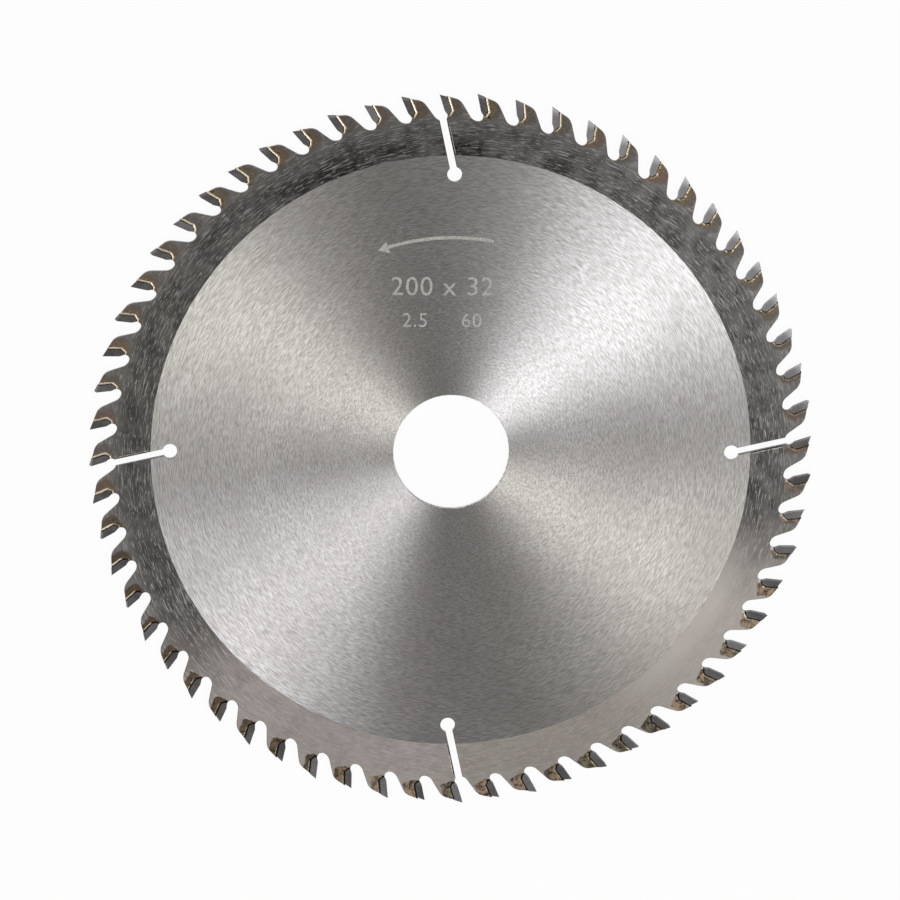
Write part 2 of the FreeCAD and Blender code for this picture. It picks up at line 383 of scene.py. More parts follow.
def tooth_finish(tree):
    """What brazing leaves on a tooth: how far it reaches and its colours, from braze to heat tints."""
    outside, back, down, number = tooth_places(tree)
    direction, point = polar_places(tree)[1:]
    upper_left = side_share(tree, direction, 140.0, 0.0, 0.6)
    lower = side_share(tree, direction, 268.0, 0.1, 0.7)
    right = side_share(tree, direction, 0.0, 0.85, 0.97)
    lower_left = side_share(tree, direction, 222.0, 0.75, 0.95)
    straw_side = side_share(tree, direction, 290.0, 0.2, 0.8)
    chance = add(tree, "TexWhiteNoise", {"W": number}, noise_dimensions="1D")
    wander = add(tree, "TexNoise", {"Vector": point, "Scale": 1 / STAIN, "Detail": 3.0})
    drift = add(tree, "Math", {0: wander, 1: STAIN_WANDER, 2: -STAIN_WANDER / 2}, operation="MULTIPLY_ADD")
    distance = add(tree, "Math", {0: outside, 1: drift}, operation="ADD")

    # The heat tints run from straw beside the braze to copper, olive and grey on the shoulder
    patch = add(tree, "TexNoise", {"Vector": point, "Scale": 1 / TINT_PATCH, "Detail": 3.0})
    spread = add(tree, "Math", {0: distance, 1: TINTS_PER_METRE, 2: -0.62}, operation="MULTIPLY_ADD")
    grained = add(tree, "Math", {0: patch, 1: 1.5, 2: spread}, operation="MULTIPLY_ADD")
    varied = add(tree, "Math", {0: chance, 1: 0.34, 2: grained}, operation="MULTIPLY_ADD")
    tints = add(tree, "ValToRGB", {0: varied}, stops=[
        (0.05, "#38322A"), (0.2, "#5C5444"), (0.33, "#867C65"), (0.45, "#76655A"),
        (0.58, "#65645A"), (0.72, "#716B6A"), (0.95, "#7A7776"),
    ])
    # Some teeth are more coppery, those on the right are greyer and those on the lower left browner.
    # On the lower side some are straw and some are sooted all over
    second = add(tree, "Math", {0: number, 1: 0.37}, operation="ADD")
    other_chance = add(tree, "TexWhiteNoise", {"W": second}, noise_dimensions="1D")
    coppery = add(tree, "MapRange", {0: other_chance, 1: 0.5, 2: 1.0, 4: 0.5})
    hued = add(tree, "MixRGB", {0: coppery, 1: tints, 2: linear("#84675A")})
    plain = add(tree, "Math", {0: right, 1: 0.5}, operation="MULTIPLY")
    greyed = add(tree, "MixRGB", {0: plain, 1: hued, 2: linear("#696462")})
    straw = add(tree, "MapRange", {0: wander, 1: 0.42, 2: 0.6, 4: 0.8}, interpolation_type="SMOOTHSTEP")
    strawed = add(tree, "Math", {0: straw, 1: straw_side}, operation="MULTIPLY")
    straw_hue = add(tree, "MixRGB", {0: other_chance, 1: linear("#B3A684"), 2: linear("#C9AA95")})
    warmed = add(tree, "MixRGB", {0: strawed, 1: greyed, 2: straw_hue})
    browned = add(tree, "Math", {0: lower_left, 1: 0.65}, operation="MULTIPLY")
    baked = add(tree, "MixRGB", {0: browned, 1: warmed, 2: linear("#4A3C2F")})
    sooted_over = add(tree, "MapRange", {0: other_chance, 1: 0.4, 2: 0.05, 4: 0.5})
    dirty = add(tree, "Math", {0: sooted_over, 1: lower}, operation="MULTIPLY")
    soot_and_shade_darkened = add(tree, "MixRGB", {0: dirty, 1: baked, 2: linear("#453F37")})

    # The tints end in a ragged edge, which burnt flux makes black on the lower teeth
    smaller = add(tree, "Math", {0: lower_left, 1: 0.7, 2: right}, operation="MULTIPLY_ADD")
    shrunk = add(tree, "Math", {0: smaller, 1: STAIN_SHRINKAGE, 2: distance}, operation="MULTIPLY_ADD")
    reach = add(tree, "Math", {0: chance, 1: STAIN_CHANCE, 2: shrunk}, operation="MULTIPLY_ADD")
    start, end = STAIN_FADE
    wide = add(tree, "MapRange", {0: reach, 1: end, 2: start}, interpolation_type="SMOOTHSTEP")
    # They end in a line square to the cutting face too, which lies just past the toe on the lower teeth
    ragged = add(tree, "Math", {0: down, 1: drift}, operation="ADD")
    lowered = add(tree, "Math", {0: lower, 1: LOWER_STAIN_LIFT, 2: ragged}, operation="MULTIPLY_ADD")
    start, end = STAIN_FOOT_FADE
    high = add(tree, "MapRange", {0: lowered, 1: end, 2: start}, interpolation_type="SMOOTHSTEP")
    # On the lower teeth that edge is crisp
    soft = add(tree, "Math", {0: wide, 1: high}, operation="MULTIPLY")
    crisp = add(tree, "MapRange", {0: soft, 1: 0.3, 2: 0.7}, interpolation_type="SMOOTHSTEP")
    cover = add(tree, "MixRGB", {0: lower, 1: soft, 2: crisp})
    outer = add(tree, "MapRange", {0: cover, 1: 0.98, 2: 0.6}, interpolation_type="SMOOTHSTEP")
    fleck = add(tree, "TexNoise", {"Vector": point, "Scale": 1 / SOOT_FLECK, "Detail": 3.0})
    dark_fleck = add(tree, "MapRange", {0: fleck, 1: 0.48, 2: 0.36, 4: 0.7}, interpolation_type="SMOOTHSTEP")
    edge_soot = add(tree, "Math", {0: outer, 1: 0.5}, operation="MULTIPLY")
    burnt = add(tree, "Math", {0: edge_soot, 1: dark_fleck}, operation="MAXIMUM")
    lower_burnt = add(tree, "Math", {0: burnt, 1: lower}, operation="MULTIPLY")
    soiled = add(tree, "MixRGB", {0: lower_burnt, 1: soot_and_shade_darkened, 2: colours().flux})

    # The clean braze is a pale line, broken in places, and a painted highlight makes it lighter and whole
    # towards the upper left and fainter on the right. On the lower left it stops short of both ends of the
    # tip's back
    line_colour = add(tree, "MixRGB", {0: upper_left, 1: linear("#C9BD9B"), 2: colours().braze})
    waver = add(tree, "Math", {0: wander, 1: BRAZE_WANDER, 2: -BRAZE_WANDER / 2}, operation="MULTIPLY_ADD")
    near = add(tree, "Math", {0: outside, 1: waver}, operation="ADD")
    start, end = BRAZE_FADE
    line_end = add(tree, "MapRange", {0: near, 1: end, 2: start}, interpolation_type="SMOOTHSTEP")
    broken = add(tree, "MapRange", {0: fleck, 1: 0.42, 2: 0.52}, interpolation_type="SMOOTHSTEP")
    whole = add(tree, "Math", {0: broken, 1: upper_left}, operation="MAXIMUM")
    start, end = BRAZE_FOOT_FADE
    along_back = add(tree, "MapRange", {0: down, 1: end, 2: start, 3: 0.35})
    kept = add(tree, "Math", {0: whole, 1: along_back}, operation="MULTIPLY")
    fainter = add(tree, "MapRange", {0: right, 3: 1.0, 4: 0.35})
    faded = add(tree, "Math", {0: kept, 1: fainter}, operation="MULTIPLY")
    past_middle = add(tree, "Math", {0: down, 1: SHORT_LINE_MIDDLE}, operation="SUBTRACT")
    from_middle = add(tree, "Math", {0: past_middle}, operation="ABSOLUTE")
    start, end = SHORT_LINE_END_FADE
    missing = add(tree, "MapRange", {0: from_middle, 1: start, 2: end}, interpolation_type="SMOOTHSTEP")
    cut_off = add(tree, "Math", {0: missing, 1: lower_left}, operation="MULTIPLY")
    left_over = add(tree, "Math", {0: 1.0, 1: cut_off}, operation="SUBTRACT")
    line_share = add(tree, "Math", {0: faded, 1: left_over}, operation="MULTIPLY")
    line_cover = add(tree, "Math", {0: line_end, 1: line_share}, operation="MULTIPLY")
    lined = add(tree, "MixRGB", {0: line_cover, 1: soiled, 2: line_colour})

    # Soot lies between the braze and the tip, widest on the lower teeth
    soot_width = add(tree, "Math", {0: lower, 1: LOWER_SOOT_EXTRA, 2: SOOT_WIDTH}, operation="MULTIPLY_ADD")
    past_soot = add(tree, "Math", {0: near, 1: soot_width}, operation="SUBTRACT")
    start, end = SOOT_FADE
    soot = add(tree, "MapRange", {0: past_soot, 1: end, 2: start}, interpolation_type="SMOOTHSTEP")
    sooted = add(tree, "MixRGB", {0: soot, 1: lined, 2: colours().flux})

    # Under the toe, next to the gullet, the steel of the lower right teeth carries a painted glint
    start, end = BRIGHT_TOE_BACK_FADE
    toe_back = add(tree, "MapRange", {0: back, 1: end, 2: start}, interpolation_type="SMOOTHSTEP")
    start, end = BRIGHT_TOE_TOP_FADE
    toe_down = add(tree, "MapRange", {0: down, 1: start, 2: end}, interpolation_type="SMOOTHSTEP")
    start, end = BRIGHT_TOE_FOOT_FADE
    toe_end = add(tree, "MapRange", {0: down, 1: end, 2: start}, interpolation_type="SMOOTHSTEP")
    toe_under = add(tree, "Math", {0: toe_down, 1: toe_end}, operation="MULTIPLY")
    toe = add(tree, "Math", {0: toe_back, 1: toe_under}, operation="MULTIPLY")
    lower_right = side_share(tree, direction, 315.0, 0.6, 0.9)
    painted_toe_glint = add(tree, "Math", {0: toe, 1: lower_right}, operation="MULTIPLY")
    finished = add(tree, "MixRGB", {0: painted_toe_glint, 1: sooted, 2: linear("#E4E0D9")})
    return cover, finished


def rim_material():
    """Hardened steel, its scale brushed thin: dark, streaked and dull, with painted light towards the right
    and along the lower side, painted shade at the top, and the teeth tinted by brazing.
    """
    material, tree = new_material("Tool steel, hardened, scaled and brushed")
    radius, direction, point = polar_places(tree)
    cloud = add(tree, "TexNoise", {"Vector": point, "Scale": 1 / RIM_CLOUD, "Detail": 4.0})
    clouded = add(tree, "MapRange", {0: cloud, 1: 0.25, 2: 0.8}, interpolation_type="SMOOTHSTEP")
    # A real stroke is about 0.06 mm wide and is drawn wider so that it shows
    width = sizes().stroke_width
    length = sizes().stroke_length
    short = arc_marks(tree, (0, 0), MIDDLE_OF_RIM, width, length, 21.0)
    long = arc_marks(tree, LONG_STROKES_CENTRE, MIDDLE_OF_RIM, width, length * 2.2, 34.0)
    strokes = add(tree, "Math", {0: short, 1: long}, operation="MAXIMUM")
    bright = add(tree, "MapRange", {0: strokes, 1: 0.6, 2: 0.72}, interpolation_type="SMOOTHSTEP")

    # The scale is rubbed between the teeth. Painted light makes it lighter towards the right, and painted
    # shade blackens the inner rim in smudges at the top
    dark = add(tree, "MixRGB", {0: clouded, 1: colours().rim_scale, 2: linear("#6A6967")})
    pale = add(tree, "MixRGB", {0: clouded, 1: linear("#4A4948"), 2: linear("#7C7B7A")})
    right_painted_light = side_share(tree, direction, 25.0, -1.0, 0.8)
    scaled = add(tree, "MixRGB", {0: right_painted_light, 1: dark, 2: pale})
    start, end = RUBBED_RIM_FADE
    outer = add(tree, "MapRange", {0: radius, 1: start, 2: end, 4: 0.45})
    rubbed = add(tree, "MixRGB", {0: outer, 1: scaled, 2: linear("#8F8C88")})
    shade_smudge_noise = add(tree, "TexNoise", {"Vector": point, "Scale": 1 / RIM_SHADE_SMUDGE, "Detail": 2.0})
    top = side_share(tree, direction, 95.0, 0.83, 0.96)
    start, end = INNER_RIM_FADE
    inner = add(tree, "MapRange", {0: radius, 1: end, 2: start}, interpolation_type="SMOOTHSTEP")
    top_inner = add(tree, "Math", {0: top, 1: inner}, operation="MULTIPLY")
    shade_smudges = add(tree, "MapRange", {0: shade_smudge_noise, 1: 0.4, 2: 0.56, 4: 0.85}, interpolation_type="SMOOTHSTEP")
    black = add(tree, "Math", {0: top_inner, 1: shade_smudges}, operation="MULTIPLY")
    top_shade_blackened = add(tree, "MixRGB", {0: black, 1: rubbed, 2: linear("#222120")})
    streaked = add(tree, "MixRGB", {0: bright, 1: top_shade_blackened, 2: colours().rim_steel})

    # Along the lower side the rim is painted lit: warm grey and smooth, lightest at the lower right, and a
    # little darker at the lower left with painted shade
    warm = add(tree, "MixRGB", {0: clouded, 1: linear("#A19A95"), 2: colours().lit_warm_steel})
    lit = side_share(tree, direction, 329.0, 0.87, 0.99)
    near_disc = add(tree, "Math", {0: inner, 1: 0.3, 2: 0.28}, operation="MULTIPLY_ADD")
    lighter = add(tree, "Math", {0: lit, 1: near_disc}, operation="MULTIPLY")
    light = add(tree, "MixRGB", {0: lighter, 1: warm, 2: linear("#E4DFDB")})
    faint = add(tree, "MapRange", {0: strokes, 1: 0.48, 2: 0.76, 4: 0.75}, interpolation_type="SMOOTHSTEP")
    brushed = add(tree, "MixRGB", {0: faint, 1: light, 2: linear("#CFCAC6")})
    dull = side_share(tree, direction, 228.0, 0.8, 0.99)
    soot_and_shade_darkened = add(tree, "MixRGB", {0: dull, 1: brushed, 2: linear("#E6E5E5")}, blend_type="MULTIPLY")
    # Painted light: the lower side takes this lit warm grey in place of the dark scale
    thin = side_share(tree, direction, 281.0, 0.35, 0.68)
    steel = add(tree, "MixRGB", {0: thin, 1: streaked, 2: soot_and_shade_darkened})

    cover, finished = tooth_finish(tree)
    height = add(tree, "Math", {0: strokes, 1: cloud}, operation="ADD")
    shader = add(tree, "BsdfPrincipled", {
        "Base Color": add(tree, "MixRGB", {0: cover, 1: steel, 2: finished}),
        "Metallic": 1.0,
        "Roughness": add(tree, "MapRange", {0: cloud, 1: 0.2, 2: 0.8, 3: 0.55, 4: 0.45}),
        "Anisotropic": 0.4,
        "Tangent": add(tree, "VectorMath", {0: point, 1: (1, 1, 0)}, operation="MULTIPLY"),
        "Normal": add(tree, "Bump", {"Height": height, "Strength": 0.3, "Distance": BRUSHING_DEPTH}),
    })
    add(tree, "OutputMaterial", {0: shader})
    return material


def rubbed_material(name, dark, light):
    """Steel rubbed through its scale by grinding or handling: a thin uneven line, dark with lighter spots."""
    material, tree = new_material(name)
    point = add(tree, "TexCoord").outputs["Object"]
    wear = add(tree, "TexNoise", {"Vector": point, "Scale": 1 / WEAR_SPOT, "Detail": 3.0})
    worn = add(tree, "MapRange", {0: wear, 1: 0.4, 2: 0.65}, interpolation_type="SMOOTHSTEP")
    shader = add(tree, "BsdfPrincipled", {
        "Base Color": add(tree, "MixRGB", {0: worn, 1: dark, 2: light}),
        "Metallic": 1.0,
        "Roughness": add(tree, "MapRange", {0: wear, 1: 0.3, 2: 0.7, 3: 0.55, 4: 0.4}),
        "Normal": add(tree, "Bump", {"Height": wear, "Strength": 0.2, "Distance": WEAR_DEPTH}),
    })
    add(tree, "OutputMaterial", {0: shader})
    return material


def foot_material():
    """Unbrushed scale: the black line that stays in the corner under a burr."""
    material, tree = new_material("Tool steel, scaled black")
    point = add(tree, "TexCoord").outputs["Object"]
    crust = add(tree, "TexNoise", {"Vector": point, "Scale": 1 / SCALE_CRUST, "Detail": 3.0})
    thick = add(tree, "MapRange", {0: crust, 1: 0.35, 2: 0.65}, interpolation_type="SMOOTHSTEP")
    shader = add(tree, "BsdfPrincipled", {
        "Base Color": add(tree, "MixRGB", {0: thick, 1: linear("#1E1D1C"), 2: colours().rim_scale}),
        "Metallic": 1.0,
        "Roughness": add(tree, "MapRange", {0: crust, 1: 0.3, 2: 0.7, 3: 0.6, 4: 0.75}),
        "Normal": add(tree, "Bump", {"Height": crust, "Strength": 0.3, "Distance": SCALE_CRUST_DEPTH}),
    })
    add(tree, "OutputMaterial", {0: shader})
    return material


def carbide_material():
    """Cemented carbide, sintered and diamond ground: dark grey and matte with a fine grain."""
    material, tree = new_material("Cemented carbide, diamond ground")
    down, number = tooth_places(tree)[2:]
    direction, point = polar_places(tree)[1:]
    # The real grain is a few thousandths of a millimetre and is drawn coarser so that it shows
    grain = add(tree, "TexNoise", {"Vector": point, "Scale": 1 / CARBIDE_GRAIN, "Detail": 3.0})
    cloud = add(tree, "TexNoise", {"Vector": point, "Scale": 1 / CARBIDE_CLOUD, "Detail": 2.0})
    both = add(tree, "Math", {0: grain, 1: cloud}, operation="ADD")
    mottled = add(tree, "MapRange", {0: both, 1: 0.75, 2: 1.3}, interpolation_type="SMOOTHSTEP")
    base = add(tree, "MixRGB", {0: mottled, 1: linear("#585555"), 2: colours().carbide})
    # Some tips are wiped cleaner than others, and those at the upper right are lightest, with painted light
    chance = add(tree, "TexWhiteNoise", {"W": number}, noise_dimensions="1D")
    wiped = add(tree, "MapRange", {0: chance, 1: 0.5, 2: 1.0, 4: 0.35})
    right = side_share(tree, direction, 42.0, 0.72, 0.96)
    upper_right_painted_light = add(tree, "Math", {0: right, 1: 0.6}, operation="MULTIPLY")
    clean = add(tree, "Math", {0: wiped, 1: upper_right_painted_light}, operation="MAXIMUM")
    wiped_and_lit = add(tree, "MixRGB", {0: clean, 1: base, 2: linear("#AEAEB2")})
    # On the upper right their points carry a painted highlight
    start, end = POINT_HIGHLIGHT_FADE
    near = add(tree, "MapRange", {0: down, 1: end, 2: start, 4: 0.6}, interpolation_type="SMOOTHSTEP")
    point_painted_highlight = add(tree, "Math", {0: right, 1: near}, operation="MULTIPLY")
    shader = add(tree, "BsdfPrincipled", {
        "Base Color": add(tree, "MixRGB", {0: point_painted_highlight, 1: wiped_and_lit, 2: linear("#EDEDF0")}),
        "Metallic": 1.0,
        "Roughness": add(tree, "MapRange", {0: grain, 1: 0.3, 2: 0.7, 3: 0.53, 4: 0.43}),
        "Normal": add(tree, "Bump", {"Height": grain, "Strength": 0.3, "Distance": CARBIDE_GRAIN_DEPTH}),
    })
    add(tree, "OutputMaterial", {0: shader})
    return material


def braze_material():
    """Silver braze, melted in with flux: a bright uneven bead with a sooty line against the tip."""
    material, tree = new_material("Silver braze, melted with flux")
    finished = tooth_finish(tree)[1]
    point = add(tree, "TexCoord").outputs["Object"]
    ripple = add(tree, "TexNoise", {"Vector": point, "Scale": 1 / BRAZE_RIPPLE, "Detail": 2.0})
    shader = add(tree, "BsdfPrincipled", {
        "Base Color": finished,
        "Metallic": 1.0,
        "Roughness": add(tree, "MapRange", {0: ripple, 1: 0.3, 2: 0.7, 3: 0.5, 4: 0.36}),
        "Normal": add(tree, "Bump", {"Height": ripple, "Strength": 0.5, "Distance": BRAZE_RIPPLE_DEPTH}),
    })
    add(tree, "OutputMaterial", {0: shader})
    return material


def etched_material():
    """Acid-etched steel: a pale frosted figure that doesn't catch the light in rays."""
    material, tree = new_material("Tool steel, etched matte")
    point = add(tree, "TexCoord").outputs["Object"]
    # The real pits are a few hundredths of a millimetre and are drawn coarser so that they show
    pits = add(tree, "TexNoise", {"Vector": point, "Scale": 1 / ETCH_PIT, "Detail": 2.0})
    frosted = add(tree, "MapRange", {0: pits, 1: 0.3, 2: 0.7}, interpolation_type="SMOOTHSTEP")
    shader = add(tree, "BsdfPrincipled", {
        "Base Color": add(tree, "MixRGB", {0: frosted, 1: linear("#A6A5A1"), 2: colours().etching}),
        "Metallic": 0.6,
        "Roughness": add(tree, "MapRange", {0: pits, 1: 0.3, 2: 0.7, 3: 0.75, 4: 0.65}),
        "Normal": add(tree, "Bump", {"Height": pits, "Strength": 0.3, "Distance": ETCH_PIT_DEPTH}),
    })
    add(tree, "OutputMaterial", {0: shader})
    return material


def floor_material():
    """Matte white paper: white to the camera and in reflections, with a little of the blade's shadow left."""
    material, tree = new_material("Paper, matte white")
    paper = add(tree, "BsdfPrincipled", {"Base Color": linear("#E6E6E4"), "Roughness": 0.9})
    rays = add(tree, "LightPath").outputs
    seen = add(tree, "Math", {0: rays["Is Camera Ray"], 1: rays["Is Glossy Ray"]}, operation="MAXIMUM")
    shown = add(tree, "Math", {0: seen, 1: rays["Is Transmission Ray"]}, operation="MAXIMUM")
    share = add(tree, "Math", {0: shown, 1: 0.95}, operation="MULTIPLY")
    glow = add(tree, "Emission", {"Color": (1, 1, 1, 1), "Strength": 1.0})
    add(tree, "OutputMaterial", {0: add(tree, "MixShader", {0: share, 1: paper, 2: glow})})
    return material


# Modelling helpers

def select_only(obj):
    bpy.ops.object.select_all(action="DESELECT")
    obj.select_set(True)
    bpy.context.view_layer.objects.active = obj


def nodes_named(start):
    return [frame["nodes"][name] for name in sorted(frame["nodes"]) if name.startswith(start)]


def keep_place():
    """Puts the place, turn and scale of what is selected into its mesh."""
    bpy.ops.object.transform_apply(location=True, rotation=True, scale=True)


# Operators

class SAWBLADE_OT_steel_body(bpy.types.Operator):
    """Takes a clean copy of the steel body, breaks its edges and finishes its ground and scaled faces"""

    bl_idname = "saw_blade.steel_body"
    bl_label = "Steel body"

    def execute(self, context):
        select_only(frame["nodes"]["blade_body"])
        bpy.ops.object.duplicate()
        bpy.ops.object.parent_clear(type="CLEAR_KEEP_TRANSFORM")
        piece = context.object
        piece.name = "steel_body"
        bpy.ops.object.mode_set(mode="EDIT")
        bpy.ops.mesh.select_all(action="SELECT")
        bpy.ops.mesh.remove_doubles(threshold=MERGE_DISTANCE)
        bpy.ops.mesh.dissolve_limited(angle_limit=math.radians(FLAT_ANGLE))
        bpy.ops.object.mode_set(mode="OBJECT")

        piece.data.materials.clear()
        edges = rubbed_material("Tool steel, rubbed at the edges", linear("#5E5C5A"), colours().edge_steel)
        for material in (ground_steel_material(), rim_material(), edges):
            piece.data.materials.append(material)
        face_middle = (GROUND_FACE_HEIGHT + RIM_FACE_HEIGHT) / 2
        for face in piece.data.polygons:
            inside = face.center.xy.length < GROUND_RADIUS and abs(face.center.z) < face_middle
            face.material_index = 0 if inside else 1

        bevel = piece.modifiers.new("broken edge", "BEVEL")
        bevel.width = sizes().edge_width
        bevel.segments = 1
        bevel.limit_method = "ANGLE"
        bevel.angle_limit = math.radians(SHARP_ANGLE)
        bevel.material = 2
        bpy.ops.object.modifier_apply(modifier=bevel.name)
        bpy.ops.object.shade_smooth_by_angle(angle=math.radians(SMOOTH_ANGLE))
        # The faces of the disc stay flat, or their shading would bend towards the edges
        for face in piece.data.polygons:
            if abs(face.normal.z) > FLAT_NORMAL:
                face.use_smooth = False

        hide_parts("blade_body")
        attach(piece, BODY)
        return {"FINISHED"}


class SAWBLADE_OT_carbide_tips(bpy.types.Operator):
    """Gives the carbide tips their ground surface"""

    bl_idname = "saw_blade.carbide_tips"
    bl_label = "Carbide tips"

    def execute(self, context):
        material = carbide_material()
        for node in nodes_named("carbide_tips"):
            node.material_slots[0].material = material
        return {"FINISHED"}


class SAWBLADE_OT_braze_joints(bpy.types.Operator):
    """Gives the braze joints their melted surface"""

    bl_idname = "saw_blade.braze_joints"
    bl_label = "Braze joints"

    def execute(self, context):
        material = braze_material()
        for node in nodes_named("braze_joints"):
            node.material_slots[0].material = material
        return {"FINISHED"}


ETCH_THICKNESS = 0.01 * MM
# The middle of the etched layer stands a little above the ground face
ETCH_LIFT = 0.3 * ETCH_THICKNESS
ETCH_LEVEL = GROUND_FACE_HEIGHT + ETCH_LIFT
LETTER_SHARE_OF_SIZE = 0.7
LETTER_SPACING = 1.08
# Shares of the figures' height: height of the second line, its drop and the arrow's rise
SECOND_LINE_SHARE = 0.75
SECOND_LINE_DROP = 1.7
ARROW_RISE = 3.1
# The figures stand a little left of the middle, where the ground face mirrors no lamp
FIGURE_SHIFT = -3.0 * MM
ARROW_START = 79.0
ARROW_SWEEP = 28.0
ARROW_STEPS = 24
# Radius of the head, in widths of the shaft
ARROW_HEAD_WIDTHS = 2.2


def figures(words, height, place, name):
    """Flat figures as a thin mesh on the front face, centred on a place."""
    bpy.ops.object.select_all(action="DESELECT")
    bpy.ops.object.text_add(location=(0, 0, 0))
    text = bpy.context.object
    text.name = name
    text.data.body = words
    text.data.size = height / LETTER_SHARE_OF_SIZE
    text.data.align_x = "CENTER"
    text.data.extrude = ETCH_THICKNESS / 2
    text.data.space_character = LETTER_SPACING
    bpy.ops.object.convert(target="MESH")
    bpy.ops.transform.translate(value=place)
    keep_place()
    return bpy.context.object


def turning_arrow(radius):
    """Thin arc with a head, which shows the way the blade turns."""
    bpy.ops.object.select_all(action="DESELECT")
    width = sizes().arrow_width
    start = math.radians(ARROW_START)
    sweep = math.radians(ARROW_SWEEP)
    place = (radius * math.cos(start), radius * math.sin(start), ETCH_LEVEL)
    bpy.ops.mesh.primitive_plane_add(size=width, location=place, rotation=(0, 0, start))
    arrow = bpy.context.object
    arrow.name = "etched_turning_arrow"
    keep_place()
    along = Vector((-math.sin(start), math.cos(start), 0))
    bpy.ops.object.mode_set(mode="EDIT")
    bpy.ops.mesh.select_all(action="DESELECT")
    bpy.ops.object.mode_set(mode="OBJECT")
    for corner in arrow.data.vertices:
        corner.select = (corner.co - Vector(place)).dot(along) < 0
    bpy.ops.object.mode_set(mode="EDIT")
    bpy.ops.mesh.delete(type="VERT")
    bpy.ops.mesh.select_all(action="SELECT")
    # With no window, spin turns clockwise for a positive angle
    bpy.ops.mesh.spin(steps=ARROW_STEPS, angle=-sweep, center=(0, 0, ETCH_LEVEL), axis=(0, 0, 1))
    # The head's base, half its radius behind its middle, starts where the shaft ends
    head_radius = ARROW_HEAD_WIDTHS * width
    end = start + sweep + (head_radius + width) / 2 / radius
    head_place = (radius * math.cos(end), radius * math.sin(end), ETCH_LEVEL)
    bpy.ops.mesh.primitive_circle_add(
        vertices=3, radius=head_radius, fill_type="NGON", location=head_place, rotation=(0, 0, end),
    )
    bpy.ops.mesh.select_all(action="SELECT")
    bpy.ops.mesh.normals_make_consistent(inside=False)
    bpy.ops.object.mode_set(mode="OBJECT")
    wall = arrow.modifiers.new("etch thickness", "SOLIDIFY")
    wall.thickness = ETCH_THICKNESS
    wall.offset = 0
    bpy.ops.object.modifier_apply(modifier=wall.name)
    bpy.ops.object.mode_set(mode="EDIT")
    bpy.ops.mesh.select_all(action="SELECT")
    bpy.ops.mesh.normals_make_consistent(inside=False)
    bpy.ops.object.mode_set(mode="OBJECT")
    return arrow


class SAWBLADE_OT_etched_sizes(bpy.types.Operator):
    """Etches the plain sizes and the turning arrow on the front face"""

    bl_idname = "saw_blade.etched_sizes"
    bl_label = "Etched sizes"

    def execute(self, context):
        height = sizes().figure_height
        first_line = sizes().figure_distance
        second_line = first_line - SECOND_LINE_DROP * height
        small = SECOND_LINE_SHARE * height
        material = etched_material()
        pieces = [
            figures("200 x 32", height, (FIGURE_SHIFT, first_line, ETCH_LEVEL), "etched_diameters"),
            figures("2.5     60", small, (FIGURE_SHIFT, second_line, ETCH_LEVEL), "etched_kerf_and_teeth"),
            turning_arrow(first_line + ARROW_RISE * height),
        ]
        for piece in pieces:
            piece.data.materials.clear()
            piece.data.materials.append(material)
            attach(piece, BODY)
        return {"FINISHED"}


# Along a slot from its hole's middle, the burr starts just outside the ground face
BURR_START = 5.6 * MM
BURR_SECTIONS = 16
BURR_SEED = 4
# Shares of the burr's width: place of its ridge, unevenness and start of the pressed side
BURR_RIDGE_SHARE = 0.45
BURR_UNEVENNESS_SHARE = 0.07
BURR_PRESSED_SHARE = 0.2
# Share of the burr's height that its pressed side is pushed down
BURR_PRESS_SHARE = 0.7


